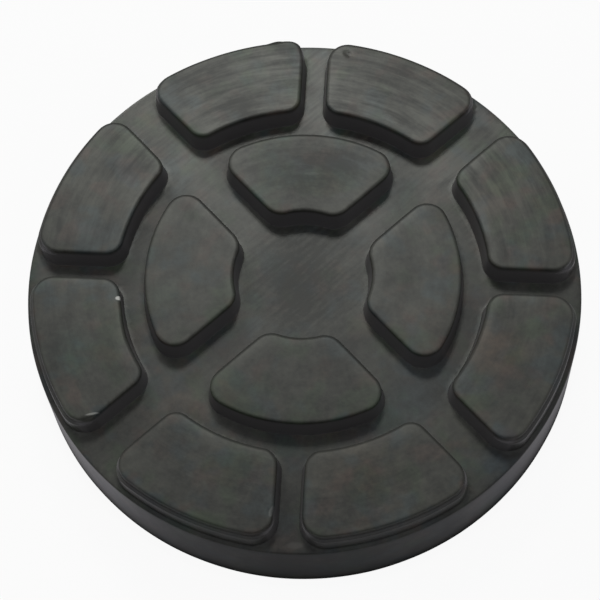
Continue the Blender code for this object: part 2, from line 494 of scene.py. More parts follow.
@dataclass
class TreadBlock:
    """One raised block: a sector of a ring with straight sides and round corners.

    Its sizes are those of its top. A stepped block has a step in the side that faces the rim.
    Painted shade darkens the rounded edge of the top, most of it on the far (+Y) side.
    """

    sizes: PadSizes
    fineness: Fineness
    inner: float
    outer: float
    start: float
    end: float
    start_gap: float
    end_gap: float
    inner_corner: float
    outer_corner: float
    stepped: bool
    edge_fade: float = 1.5
    # painted shade in the top's rounded edge, strongest where it faces the far (+Y) side
    arris_shade_gain: float = 2.5
    arris_shade_reach: float = 1.3
    arris_shade_even: float = 0.5
    arris_shade_turn: float = 0.8
    arris_shade_least: float = 0.15

    def outline(self, spread: float, reach: float) -> np.ndarray:
        """Return the block's outline at one height, counterclockwise from above.

        Args:
            spread: How far the sides stand out from those of the top.
            reach: How far the side at the rim stands out.

        Returns:
            The outline's plan points.
        """
        inner, outer = self.inner - spread, self.outer + reach
        inner_corner, outer_corner = self.inner_corner + spread, self.outer_corner + spread
        start_gap, end_gap = self.start_gap - spread, self.end_gap - spread
        outer_reach, inner_reach = outer - outer_corner, inner + inner_corner
        start_outer = self.start + math.asin((start_gap + outer_corner) / outer_reach)
        start_inner = self.start + math.asin((start_gap + inner_corner) / inner_reach)
        end_outer = self.end - math.asin((end_gap + outer_corner) / outer_reach)
        end_inner = self.end - math.asin((end_gap + inner_corner) / inner_reach)
        end_side, start_side = self.end + RIGHT_ANGLE, self.start - RIGHT_ANGLE
        centre = np.zeros(2)
        middle = [
            polar(outer_reach, end_outer), polar(inner_reach, end_inner),
            polar(inner_reach, start_inner), polar(outer_reach, start_outer),
        ]
        outer_steps, side_steps, inner_steps = self.steps()
        bend = self.fineness.corner_steps
        return np.concatenate((
            arc(centre, outer, start_outer, end_outer, outer_steps),
            arc(middle[0], outer_corner, end_outer, end_side, bend),
            straight(middle[0] + polar(outer_corner, end_side),
                     middle[1] + polar(inner_corner, end_side), side_steps, self.sizes.side_bow),
            arc(middle[1], inner_corner, end_side, end_inner + math.pi, bend),
            arc(centre, inner, end_inner, start_inner, inner_steps),
            arc(middle[2], inner_corner, start_inner + math.pi, start_side + FULL_TURN, bend),
            straight(middle[2] + polar(inner_corner, start_side),
                     middle[3] + polar(outer_corner, start_side), side_steps, self.sizes.side_bow),
            arc(middle[3], outer_corner, start_side, start_outer, bend),
        ))

    def steps(self) -> tuple[int, int, int]:
        """Return how many steps the outer arc, a side and the inner arc have."""
        sweep = self.end - self.start
        outer_arc = self.outer * sweep - self.start_gap - self.end_gap - 2 * self.outer_corner
        inner_arc = self.inner * sweep - self.start_gap - self.end_gap - 2 * self.inner_corner
        side = self.outer - self.inner - self.outer_corner - self.inner_corner
        step = self.fineness.outline_step
        lengths = (outer_arc, side, max(inner_arc, self.fineness.least_steps * step))
        return tuple(math.ceil(length / step) for length in lengths)

    def rings(self) -> np.ndarray:
        """Return the wall's rings, foot first: height above the floor, spread and reach."""
        sizes, steps = self.sizes, self.fineness.round_steps
        lean, rim_lean = math.tan(sizes.channel_draft), math.tan(sizes.rim_draft)
        edge_start = sizes.block_height - sizes.top_edge_radius
        step_height = sizes.block_height - sizes.step_depth
        wall_start = step_height + sizes.step_rise
        if self.stepped:
            foot_reach = sizes.step_width + step_height * rim_lean - sizes.rim_foot_clearance
            corners = [
                (foot_reach, 0.0, 0.0),
                (sizes.step_width, step_height, sizes.step_edge_radius),
                ((edge_start - wall_start) * rim_lean, wall_start, sizes.step_crease_radius),
                (0.0, edge_start, 0.0),
            ]
            side = rounded_path(corners, self.fineness.step_round_steps, self.fineness.wall_step)
            heights, reaches = side[:, 1], side[:, 0]
        else:
            heights = np.arange(0.0, edge_start, self.fineness.wall_step)[1:]
            heights = np.append(heights, edge_start)
            reaches = (edge_start - heights) * lean
        bend = np.linspace(0.0, RIGHT_ANGLE, steps)
        foot_heights = sizes.foot_radius * (1 - np.cos(bend))
        foot_curve = sizes.foot_radius * (1 - np.sin(bend))
        spreads = (edge_start - foot_heights) * lean + foot_curve
        foot_reaches = np.interp(foot_heights, heights, reaches) if self.stepped else spreads
        wall = heights > sizes.foot_radius
        rows = [np.column_stack((foot_heights, spreads, foot_reaches))]
        rows.append(np.column_stack((heights[wall], (edge_start - heights[wall]) * lean, reaches[wall])))
        turn = np.linspace(0.0, RIGHT_ANGLE, steps + 1)[1:]
        inset = sizes.top_edge_radius * (np.cos(turn) - 1)
        rows.append(np.column_stack((edge_start + sizes.top_edge_radius * np.sin(turn), inset, inset)))
        inset = -np.array(self.fineness.top_insets)
        rows.append(np.column_stack((np.full(len(inset), sizes.block_height), inset, inset)))
        return np.concatenate(rows)

    def build(self, surface: MouldedSurface, marks: tuple[Mark, ...]) -> np.ndarray:
        """Add the block to the surface.

        Args:
            surface: The surface that the block belongs to.
            marks: The pad's marks of wear.

        Returns:
            The numbers of the points of its foot, on the channel floor.
        """
        sizes = self.sizes
        loops = []
        for height, spread, reach in self.rings():
            outline = self.outline(spread, reach)
            depth = min(1.0, max(0.0, -spread) / sizes.crown_width)
            fall = (1 - depth) ** 2 if spread <= 0.0 else height / sizes.block_height
            level = np.full(len(outline), sizes.floor + height - sizes.crown * fall)
            on_top = sizes.block_height - height < sizes.top_edge_radius
            loops.append(surface.add(
                np.column_stack((outline, level)),
                top=1.0 if on_top else 0.0,
                edge=(1 - depth) ** self.edge_fade if on_top else 0.0,
                floor=max(0.0, 1.0 - height / sizes.foot_radius),
                arris=self.arris_shade(outline, spread) if on_top and spread <= 0.0 else 0.0,
            ))
        for lower, upper in zip(loops, loops[1:]):
            surface.band(lower, upper)
        surface.fill([loops[-1]], sizes.height, self.fineness.fill_step, marks, top=1.0)
        return loops[0]

    def arris_shade(self, outline: np.ndarray, spread: float) -> np.ndarray:
        """Return how much painted shade lies at each point of an outline on the top's rounded edge.

        Args:
            outline: The outline's plan points.
            spread: How far it stands out from the top's sides, which is less than zero here.

        Returns:
            One weight for each point, the highest where the side faces +Y.
        """
        gathered = self.arris_shade_gain * (self.arris_shade_reach + spread / self.sizes.top_edge_radius)
        run = np.roll(outline, -1, axis=0) - np.roll(outline, 1, axis=0)
        facing_up = -run[:, 0] / np.linalg.norm(run, axis=1)
        share = np.clip(self.arris_shade_even + self.arris_shade_turn * facing_up, self.arris_shade_least, 1.0)
        return max(0.0, min(1.0, gathered)) * share


@dataclass
class CapBody:
    """The turned part of the moulding: shoulder, side, skirt, bead, socket and ceiling.

    It starts where the shoulder's round edge does, as a share of that edge's radius.
    """

    sizes: PadSizes
    fineness: Fineness
    shoulder_start: float = 1.01

    def section(self) -> np.ndarray:
        """Return the section's radii and heights, from the shoulder to the socket's ceiling."""
        sizes = self.sizes
        crest = (sizes.socket_radius - sizes.bead_reach, sizes.bead_height / 2, sizes.bead_reach / 2)
        corners = [
            (sizes.shoulder_reach - 2 * sizes.shoulder_radius, sizes.floor, 0.0),
            (sizes.shoulder_reach, sizes.floor, sizes.shoulder_radius),
            (sizes.radius, 0.0, sizes.lower_edge_radius),
            (sizes.socket_radius, 0.0, sizes.mouth_edge_radius),
            crest,
            (sizes.socket_radius, sizes.bead_height, sizes.mouth_edge_radius),
            (sizes.socket_radius, sizes.socket_top, sizes.socket_corner_radius),
            (self.fineness.ceiling_step, sizes.socket_top, 0.0),
        ]
        path = rounded_path(corners, self.fineness.round_steps, self.fineness.wall_step)
        start = sizes.shoulder_reach - self.shoulder_start * sizes.shoulder_radius
        return path[np.flatnonzero(path[:, 0] > start)[0]:]

    def build(self, surface: MouldedSurface) -> np.ndarray:
        """Add the cap to the surface.

        Args:
            surface: The surface that the cap belongs to.

        Returns:
            The numbers of the points of its shoulder's upper ring.
        """
        angles = np.linspace(0.0, FULL_TURN, self.fineness.turn_steps, endpoint=False)
        rings = []
        for radius, height in self.section():
            plan = radius * np.column_stack((np.cos(angles), np.sin(angles)))
            ring = np.column_stack((plan, np.full(len(angles), height)))
            outside = radius > self.sizes.radius - self.sizes.skirt_wall / 4
            below_shoulder = self.sizes.floor - self.sizes.shoulder_radius / 2
            on_shoulder = self.sizes.floor - self.sizes.shoulder_radius / 4
            side = 1.0 if outside and height < below_shoulder else 0.0
            floor = 1.0 if outside and height > on_shoulder else 0.0
            rings.append(surface.add(ring, side=side, floor=floor))
        for upper, lower in zip(rings, rings[1:]):
            surface.band(lower, upper)
        centre = surface.add(np.array([[0.0, 0.0, self.sizes.socket_top]]))
        surface.fan(rings[-1][::-1], int(centre[0]))
        return rings[0]


@dataclass
class RubberPad:
    """The whole moulding with its wear."""

    sizes: PadSizes = field(default_factory=PadSizes)
    fineness: Fineness = field(default_factory=Fineness)
    rim_block_count: int = 8
    petal_count: int = 4
    waviness: float = 0.035 * MM
    wave_length: float = 9.0 * MM
    wave_shifts: tuple[Triple, ...] = (
        (9.3, -1.5, -8.0), (0.0, 0.0, 0.0), (-3.5, 2.7, 5.1),
    )
    even_below: float = 0.5 * MM
    marks: tuple[Mark, ...] = (
        Mark(MarkKind.PUSH, 6.9, 54.3, 1.9, 1.3, 10.0, (0.0, 0.0, -0.5)),
        Mark(MarkKind.PUSH, 7.5, 54.0, 1.3, 1.0, 60.0, (0.0, 0.0, -0.3)),
        Mark(MarkKind.PUSH, -5.0, 56.0, 10.0, 4.6, -12.0, (0.45, 0.75, -0.15)),
        Mark(MarkKind.PUSH, -9.6, 57.3, 5.0, 2.6, 6.0, (0.0, 0.65, 0.18)),
        Mark(MarkKind.CHIP, -41.2, -33.8, 5.0, 3.6, 14.0, slope=2.2),
        Mark(MarkKind.PUSH, -2.9, -52.6, 4.0, 3.2, 80.0, (-0.25, 0.1, -0.12)),
        Mark(MarkKind.PUSH, -39.3, -8.5, 20.0, 9.0, 97.0, (0.6, 0.0, 0.0)),
    )

    def rim_blocks(self) -> list[TreadBlock]:
        """Return the blocks that stand along the rim in pairs."""
        sizes = self.sizes
        channels = (sizes.pair_channel, sizes.diagonal_channel)
        share = FULL_TURN / self.rim_block_count
        return [
            TreadBlock(
                sizes, self.fineness, sizes.rim_block_inner, sizes.rim_block_outer,
                share * place, share * (place + 1),
                channels[place % 2] / 2, channels[(place + 1) % 2] / 2,
                sizes.rim_inner_corner, sizes.rim_outer_corner, stepped=True,
            )
            for place in range(self.rim_block_count)
        ]

    def petals(self) -> list[TreadBlock]:
        """Return the petals round the middle."""
        sizes = self.sizes
        share = FULL_TURN / self.petal_count
        gap = sizes.petal_channel / 2
        return [
            TreadBlock(
                sizes, self.fineness, sizes.centre_radius, sizes.petal_outer,
                share * (place - 0.5), share * (place + 0.5), gap, gap,
                sizes.petal_inner_corner, sizes.petal_outer_corner, stepped=False,
            )
            for place in range(self.petal_count)
        ]

    def worn(self, places: np.ndarray) -> np.ndarray:
        """Return the points with the mould's slight unevenness and the marks of wear.

        Args:
            places: Every point of the surface.

        Returns:
            The moved points.
        """
        shifts = [Vector(shift) for shift in self.wave_shifts]
        scaled = [Vector(place) / self.wave_length for place in places]
        waves = np.array([[noise.noise(place + shift) for shift in shifts] for place in scaled])
        free = places[:, 2] > self.even_below
        moved = places + waves * self.waviness * free[:, None]
        for mark in self.marks:
            moved = mark.apply(moved, self.sizes)
        return moved

    def build(self) -> bpy.types.Object:
        """Build the pad's surface and return its object."""
        surface = MouldedSurface()
        feet = [block.build(surface, self.marks) for block in self.rim_blocks() + self.petals()]
        shoulder = CapBody(self.sizes, self.fineness).build(surface)
        surface.fill([shoulder, *feet], self.sizes.floor, self.fineness.fill_step, floor=1.0)
        mesh = surface.mesh("rubber_pad_surface", self.worn(surface.places()))
        pad = bpy.data.objects.new("rubber_pad_surface", mesh)
        bpy.context.scene.collection.objects.link(pad)
        return pad


class Signal:
    """A shader socket that takes part in Python expressions."""

    def __init__(self, shading: "Shading", socket: bpy.types.NodeSocket) -> None:
        """Wrap a socket of a material's node tree."""
        self.shading = shading
        self.socket = socket

    def math(self, operation: str, *others: "Signal | float") -> "Signal":
        """Return the result of a Math node with this signal as its first value."""
        return self.shading.maths(operation, self, *others)

    def __add__(self, other: "Signal | float") -> "Signal":
        """Add."""
        return self.math("ADD", other)

    __radd__ = __add__

    def __sub__(self, other: "Signal | float") -> "Signal":
        """Subtract."""
        return self.math("SUBTRACT", other)

    def __rsub__(self, other: float) -> "Signal":
        """Subtract from a number."""
        return self.shading.maths("SUBTRACT", other, self)

    def __mul__(self, other: "Signal | float") -> "Signal":
        """Multiply."""
        return self.math("MULTIPLY", other)

    __rmul__ = __mul__

    def __truediv__(self, other: "Signal | float") -> "Signal":
        """Divide."""
        return self.math("DIVIDE", other)

    def clipped(self) -> "Signal":
        """Return the signal held between 0 and 1."""
        return self.math("MINIMUM", 1.0).math("MAXIMUM", 0.0)

    def between(self, low: float, high: float, least: float = 0.0) -> "Signal":
        """Return a smooth rise to 1.

        Args:
            low: Where it starts.
            high: Where it ends.
            least: Its value up to the start.

        Returns:
            The risen signal.
        """
        settings = {"interpolation_type": "SMOOTHSTEP"}
        values = {"Value": self, "From Min": low, "From Max": high, "To Min": least, "To Max": 1.0}
        return self.shading.node("ShaderNodeMapRange", settings, values)["Result"]


class Shading:
    """Builds the node tree of one material or world."""

    def __init__(self, owner: bpy.types.Material | bpy.types.World) -> None:
        """Start an empty tree in a material or a world."""
        owner.use_nodes = True
        self.tree = owner.node_tree
        self.tree.nodes.clear()

    def node(self, kind: str, settings: dict | None = None,
             values: dict | list | None = None) -> dict[str, Signal]:
        """Add a node.

        Args:
            kind: The node's type.
            settings: Its own settings, which are set first.
            values: Numbers, colours or signals for its sockets, by identifier, name or place.

        Returns:
            Its outputs, by identifier and by name.
        """
        made = self.tree.nodes.new(kind)
        for setting, choice in (settings or {}).items():
            setattr(made, setting, choice)
        named = enumerate(values) if isinstance(values, list) else (values or {}).items()
        for key, value in named:
            socket = made.inputs[key] if isinstance(key, int) else self.find(made.inputs, key)
            if isinstance(value, Signal):
                self.tree.links.new(value.socket, socket)
            else:
                socket.default_value = value
        outputs = {output.name: Signal(self, output) for output in made.outputs if output.enabled}
        outputs.update({output.identifier: Signal(self, output) for output in made.outputs})
        return outputs

    @staticmethod
    def find(sockets: bpy.types.bpy_prop_collection, key: str) -> bpy.types.NodeSocket:
        """Return the socket with this identifier or, failing that, this name."""
        for socket in sockets:
            if socket.identifier == key:
                return socket
        return sockets[key]

    def maths(self, operation: str, *values: Signal | float) -> Signal:
        """Return the result of a Math node."""
        return self.node("ShaderNodeMath", {"operation": operation}, list(values))["Value"]

    def attribute(self, region: Region) -> Signal:
        """Return the weight of a region of the surface."""
        return self.node("ShaderNodeAttribute", {"attribute_name": region.value})["Fac"]

    def mix(self, factor: Signal, low: Signal | Colour, high: Colour, blend: str = "MIX") -> Signal:
        """Return a colour mixed with another, or blended with it in another way.

        Args:
            factor: How much of the other shows.
            low: The colour.
            high: The other colour.
            blend: The way, by Blender's name for it.

        Returns:
            The new colour.
        """
        values = {"Factor_Float": factor, "A_Color": low, "B_Color": high}
        settings = {"data_type": "RGBA", "blend_type": blend}
        return self.node("ShaderNodeMix", settings, values)["Result_Color"]

    def vector(self, operation: str, *values: Signal | tuple) -> Signal:
        """Return the result of a Vector Math node."""
        return self.node("ShaderNodeVectorMath", {"operation": operation}, list(values))["Vector"]

    def combined(self, across: Signal, up: Signal, height: Signal) -> Signal:
        """Return the vector with these three parts."""
        return self.node("ShaderNodeCombineXYZ", None, [across, up, height])["Vector"]

    def position(self) -> tuple[Signal, Signal, Signal, Signal, Signal]:
        """Return the place on the object, its X, Y and Z, and its distance from the Z axis."""
        place = self.node("ShaderNodeTexCoord")["Object"]
        axes = self.node("ShaderNodeSeparateXYZ", None, [place])
        across, up = axes["X"], axes["Y"]
        return place, across, up, axes["Z"], (across * across + up * up).math("SQRT")

    def noise(self, place: Signal, scale: float = 1.0, detail: float = 2.0,
              roughness: float = 0.5) -> Signal:
        """Return smooth noise round 0.5 at a place."""
        values = {"Vector": place, "Scale": scale, "Detail": detail, "Roughness": roughness}
        return self.node("ShaderNodeTexNoise", {"noise_dimensions": "3D"}, values)["Fac"]


@dataclass(frozen=True)
class Mottle:
    """Smooth noise in the rubber: its size in metres, how strongly it shows, and its detail."""

    size: float
    share: float
    detail: float = 2.0
    roughness: float = 0.6


@dataclass(frozen=True)
class Blush:
    """A tint that shows in soft patches, where noise of this size lies above a level."""

    tint: Colour
    size: float
    shift: Triple
    level: Pair


@dataclass(frozen=True)
class StainAndLightPatch:
    """A soft patch of the rubber, placed in millimetres, that is lighter, darker or tinted.

    Some are dust, stains and tints, and some are painted light and shade.
    """

    across: float
    up: float
    reach: float
    tone: float
    shine: float = 0.0
    tint: Colour | None = None


@dataclass(frozen=True)
class ScuffAndShadeSpot:
    """A small spot of colour, placed in millimetres, with its length along its heading in degrees.

    A pale one has a positive strength, and a dark one a negative strength. The dark ones are
    painted shade on the lip, in the dent and in the chip's hollow; the pale one along the chip's
    torn edge is a painted highlight, and the other pale ones are scrapes and specks.
    """

    across: float
    up: float
    length: float
    width: float
    heading: float
    strength: float
    on_floor: bool = False


class PadSignals:
    """What tells the rubber's finish where on the pad a point lies."""

    def __init__(self, shading: Shading) -> None:
        """Read the place and the weight of each region."""
        self.shading = shading
        self.place, self.across, self.up, self.height, self.radius = shading.position()
        self.top, self.arris, self.edge, self.floor, self.side = map(shading.attribute, Region)

    def noise(self, mottle: Mottle) -> Signal:
        """Return noise round 0.5 at the place."""
        return self.shading.noise(self.place, 1 / mottle.size, mottle.detail, mottle.roughness)

    def spot(self, across: float, up: float, half_length: float, half_width: float,
             heading: float = 0.0) -> Signal:
        """Return a soft oval patch, placed and measured in millimetres.

        Args:
            across: Its middle's X.
            up: Its middle's Y.
            half_length: Half its length.
            half_width: Half its width.
            heading: The direction of its length, in degrees.

        Returns:
            A weight that falls evenly from 1 at the middle to 0 at the edge.
        """
        away_across, away_up = self.across - across * MM, self.up - up * MM
        cosine, sine = math.cos(math.radians(heading)), math.sin(math.radians(heading))
        along = (away_across * cosine + away_up * sine) / (half_length * MM)
        beside = (away_up * cosine - away_across * sine) / (half_width * MM)
        return (1 - (along * along + beside * beside).math("SQRT")).clipped()


@dataclass(frozen=True)
class CharcoalRubber:
    """The pad's rubber: charcoal, wiped and mottled, with its sheen worn in streaks."""

    dark: Colour = (0.0140, 0.0142, 0.0115, 1.0)
    light: Colour = (0.0585, 0.0590, 0.0480, 1.0)
    cloud: Mottle = Mottle(14.0 * MM, 1.3, 3.0, 0.55)
    patch: Mottle = Mottle(3.5 * MM, 0.9, 3.0)
    speck: Mottle = Mottle(0.9 * MM, 0.7)
    grain: Mottle = Mottle(0.35 * MM, 0.5)
    blushes: tuple[Blush, ...] = (
        Blush((0.80, 0.99, 1.18, 1.0), 7.0 * MM, (3.1, 0.0, 0.0), (0.50, 0.66)),
        Blush((1.20, 0.94, 0.93, 1.0), 6.0 * MM, (0.0, 5.7, 0.0), (0.52, 0.68)),
        Blush((0.86, 1.08, 0.85, 1.0), 8.0 * MM, (0.0, 0.0, 7.3), (0.50, 0.66)),
    )
    top_roughness: float = 0.42
    floor_roughness: float = 0.38
    side_roughness: float = 0.35
    # lighter top edges: partly wear, partly a painted highlight
    edge_wear_and_highlight: float = 0.34
    tone: float = 0.45
    # painted shade: the skirt's side made darker
    side_painted_shade: float = -0.25
    # painted light: a lighter grey laid on the walls to lift their shade, less on the rim step's wall
    painted_wall_light: Colour = (0.110, 0.105, 0.106, 1.0)
    painted_wall_light_share: float = 0.9
    rim_step: Pair = (56.2 * MM, 57.2 * MM)
    rim_step_share: float = 0.7
    # painted shade on the rounded top edges
    arris_painted_shade: float = 0.85
    arris_dullness: float = 0.4
    gloss: float = 0.42
    refraction: float = 1.5
    pale: Colour = (0.50, 0.50, 0.47, 1.0)
    streak_length: float = 10.0 * MM
    streak_width: float = 1.3 * MM
    streak_radius: float = 48.0 * MM
    streak_share: float = 2.3
    wiped_up: Triple = (-10.0 * MM, 35.0 * MM, 0.3)
    wiped_out: Triple = (34.0 * MM, 40.0 * MM, 0.5)
    wiped_floor: float = 0.6
    middle: Pair = (8.0 * MM, 22.0 * MM)
    wiped_middle: float = 0.32
    streak_sheen: float = 0.16
    cloud_sheen: float = 0.12
    edge_sheen: float = 0.03
    streak_relief: float = 0.5
    patch_relief: float = 0.6
    relief_strength: float = 0.25
    relief_depth: float = 0.06 * MM
    stain_and_light_drift: float = 0.8
    stain_and_light_rise: Pair = (0.1, 0.9)
    spot_drift: float = 0.5
    spot_rise: Pair = (0.25, 0.6)
    spot_height: Pair = (17.0 * MM, 19.0 * MM)
    # dust, stains and tints, with painted light on the far (+Y) side and painted shade on the near (-Y)
    # side
    stains_and_painted_light: tuple[StainAndLightPatch, ...] = (
        StainAndLightPatch(0.0, 25.0, 17.0, -0.35, 0.07),
        StainAndLightPatch(-1.0, 0.0, 21.0, -0.38, 0.09),
        StainAndLightPatch(2.0, -25.0, 19.0, -0.27, 0.05),
        StainAndLightPatch(22.0, 47.0, 17.0, -0.22, 0.04),
        # painted light: these lighter patches on the far (+Y) side
        StainAndLightPatch(-46.0, 21.0, 20.0, 0.22),
        StainAndLightPatch(46.0, 24.0, 20.0, 0.18),
        StainAndLightPatch(-27.0, 34.0, 17.0, 0.35, -0.02),
        StainAndLightPatch(33.0, 36.0, 15.0, 0.45, -0.03),
        StainAndLightPatch(40.0, 19.0, 10.0, 0.35, -0.01, (1.14, 0.97, 0.95, 1.0)),
        StainAndLightPatch(40.0, -15.0, 10.0, 0.05, 0.0, (1.14, 0.97, 0.92, 1.0)),
        StainAndLightPatch(-47.0, -20.0, 10.0, -0.05, 0.0, (0.90, 1.05, 1.03, 1.0)),
        StainAndLightPatch(30.0, -30.0, 11.0, 0.30, -0.01),
        StainAndLightPatch(24.5, -25.0, 10.0, -0.30, 0.0, (0.76, 0.95, 1.18, 1.0)),
        StainAndLightPatch(42.5, -39.5, 8.0, -0.15, 0.0, (0.80, 0.96, 1.16, 1.0)),
        StainAndLightPatch(15.5, -44.0, 15.0, -0.04, 0.0, (1.12, 0.98, 0.90, 1.0)),
        StainAndLightPatch(39.5, -16.0, 11.0, 0.03, 0.0, (1.14, 0.97, 0.90, 1.0)),
        StainAndLightPatch(26.0, -12.5, 8.0, 0.02, 0.0, (1.13, 0.97, 0.92, 1.0)),
        StainAndLightPatch(-48.0, -20.0, 8.0, 0.0, 0.0, (0.89, 1.03, 1.02, 1.0)),
        StainAndLightPatch(-28.5, -6.5, 6.0, 0.0, 0.0, (0.88, 1.05, 0.98, 1.0)),
        StainAndLightPatch(-27.0, -29.0, 9.0, 0.0, 0.0, (1.16, 0.97, 0.94, 1.0)),
        StainAndLightPatch(-35.0, -14.0, 6.0, 0.02, 0.0, (1.14, 0.97, 0.95, 1.0)),
        StainAndLightPatch(-21.0, -47.0, 12.0, -0.11, 0.01),
        StainAndLightPatch(0.0, 46.0, 6.0, -0.15, 0.01),
        StainAndLightPatch(10.0, -14.0, 8.0, -0.20, 0.02),
        StainAndLightPatch(-16.0, 14.0, 7.0, -0.25, 0.02),
        StainAndLightPatch(-49.0, 9.0, 8.0, 0.25, -0.01),
        StainAndLightPatch(33.0, 3.0, 10.0, 0.25, -0.01),
        StainAndLightPatch(-17.0, 40.0, 9.0, -0.42, 0.04),
        # painted light: two lighter patches on the far (+Y) side
        StainAndLightPatch(-36.0, 40.0, 8.0, 0.30, -0.02),
        StainAndLightPatch(42.0, 41.0, 8.0, 0.35, -0.03),
        StainAndLightPatch(10.0, 29.0, 8.0, -0.25, 0.02),
        StainAndLightPatch(-44.0, 4.0, 9.0, 0.25, -0.01),
        # painted shade: a broad darker patch over the near (-Y) side
        StainAndLightPatch(0.0, -52.0, 26.0, -0.22, 0.04),
    )
    scuffs_and_painted_shade: tuple[ScuffAndShadeSpot, ...] = (
        ScuffAndShadeSpot(-38.45, -7.5, 2.3, 1.6, 0.0, 1.0),
        # painted highlight along the chip's torn edge
        ScuffAndShadeSpot(-41.2, -33.4, 5.0, 0.8, 14.0, 0.35),
        # painted shade in the chip's hollow
        ScuffAndShadeSpot(-41.0, -35.0, 6.0, 2.8, 14.0, -0.2),
        ScuffAndShadeSpot(0.7, 23.6, 5.0, 1.1, 0.0, 0.04),
        ScuffAndShadeSpot(1.7, -57.4, 6.0, 2.4, 0.0, 0.045, on_floor=True),
        # painted shade on the lip (two spots) and in the dent
        ScuffAndShadeSpot(-10.0, 57.6, 5.4, 1.6, 5.0, -0.8),
        ScuffAndShadeSpot(-5.2, 57.4, 8.0, 1.2, -6.0, -0.6),
        ScuffAndShadeSpot(7.2, 54.2, 2.6, 1.8, 15.0, -0.4),
        ScuffAndShadeSpot(-3.3, -52.2, 3.6, 1.7, 78.0, 0.14),
    )

    def material(self) -> bpy.types.Material:
        """Build the material of the pad."""
        rubber = bpy.data.materials.new("charcoal_rubber")
        shading = Shading(rubber)
        pad = PadSignals(shading)
        cloud, patch = pad.noise(self.cloud) - 0.5, pad.noise(self.patch) - 0.5
        streak = self.streaks(pad)
        # stains, plus painted light on the far side and painted shade on the near side
        dust_and_painted_light, dulled, tints = self.stain_and_painted_light_sums(pad, cloud * self.stain_and_light_drift)
        # the darker skirt side is painted shade
        # the lighter band at the top edges is partly wear and partly a painted highlight
        tone = self.tone + dust_and_painted_light + pad.side * self.side_painted_shade + pad.edge * self.edge_wear_and_highlight
        tone = tone + cloud * self.cloud.share + streak * self.streak_share
        tone = tone + patch * self.patch.share + (pad.noise(self.speck) - 0.5) * self.speck.share
        colour = shading.mix(tone.clipped(), self.dark, self.light)
        for weight, tint in tints + self.mottled(pad):
            colour = shading.mix(weight, colour, tint, "MULTIPLY")
        # painted light: the walls' shade lifted towards a lighter grey, less on the wall of the rim step
        wall = (1 - pad.top - pad.side - pad.floor).clipped()
        wall = wall * (1 - pad.radius.between(*self.rim_step) * self.rim_step_share)
        colour = shading.mix(wall * self.painted_wall_light_share, colour, self.painted_wall_light)
        # painted shade: the rounded top edges darkened, most on the far (+Y) side
        colour = shading.mix(pad.arris * self.arris_painted_shade, colour, self.dark)
        # scuffs, with painted shade on the lip, the dent and the chip, and a painted highlight on the
        # chip's edge
        colour = self.with_scuffs_and_shade(pad, colour, patch * self.spot_drift)
        rough = self.floor_roughness + dulled + pad.top * (self.top_roughness - self.floor_roughness)
        rough = rough + pad.side * (self.side_roughness - self.floor_roughness)
        rough = rough - streak * self.streak_sheen - cloud * self.cloud_sheen
        rough = rough - pad.edge * self.edge_sheen + pad.arris * self.arris_dullness
        relief = pad.noise(self.grain) * self.grain.share
        relief = relief + streak * self.streak_relief + patch * self.patch_relief
        bump = {"Strength": self.relief_strength, "Distance": self.relief_depth, "Height": relief}
        surface = shading.node("ShaderNodeBsdfPrincipled", None, {
            "Base Color": colour, "Roughness": rough.clipped(), "IOR": self.refraction,
            "Normal": shading.node("ShaderNodeBump", None, bump)["Normal"],
            "Specular IOR Level": self.gloss,
        })
        shading.node("ShaderNodeOutputMaterial", None, {"Surface": surface["BSDF"]})
        return rubber

    def streaks(self, pad: PadSignals) -> Signal:
        """Return the streaks: arcs on the tops and diagonals on the floor.

        Args:
            pad: Where on the pad a point lies.

        Returns:
            Noise round 0, weaker where the rubber isn't wiped.
        """
        shading, length, width = pad.shading, self.streak_length, self.streak_width
        turn = pad.up.math("ARCTAN2", pad.across) * (self.streak_radius / length)
        arcs = shading.combined(turn, pad.radius / width, pad.height / length)
        diagonals = shading.combined(
            (pad.across + pad.up) / length, (pad.across - pad.up) / width, pad.height,
        )
        wiped = pad.up.between(*self.wiped_up) * pad.radius.between(*self.wiped_out)
        hatched = wiped * self.wiped_floor + (1 - pad.radius.between(*self.middle)) * self.wiped_middle
        on_tops = pad.top * wiped * (shading.noise(arcs, detail=3.0, roughness=0.6) - 0.5)
        return on_tops + pad.floor * hatched * (shading.noise(diagonals) - 0.5)

    def stain_and_painted_light_sums(self, pad: PadSignals, drift: Signal) -> tuple[Signal, Signal, list]:
        """Return what the stain and light patches add to tone and roughness, and their weighted tints.

        Args:
            pad: Where on the pad a point lies.
            drift: What makes the patches' outlines uneven.

        Returns:
            The two sums, and pairs of a weight and a tint.
        """
        dust_and_painted_light, dulled, tints = 0.0, 0.0, []
        for tone_patch in self.stains_and_painted_light:
            weight = pad.spot(tone_patch.across, tone_patch.up, tone_patch.reach, tone_patch.reach) + drift
            weight = weight.between(*self.stain_and_light_rise)
            dust_and_painted_light = weight * tone_patch.tone + dust_and_painted_light
            dulled = weight * tone_patch.shine + dulled
            if tone_patch.tint:
                tints.append((weight, tone_patch.tint))
        return dust_and_painted_light, dulled, tints

    def mottled(self, pad: PadSignals) -> list[tuple[Signal, Colour]]:
        """Return what the blushes do.

        Args:
            pad: Where on the pad a point lies.

        Returns:
            The weight and the tint of each.
        """
        tints = []
        for blush in self.blushes:
            place = pad.shading.vector("ADD", pad.place, blush.shift)
            weight = pad.shading.noise(place, 1 / blush.size).between(*blush.level)
            tints.append((weight, blush.tint))
        return tints

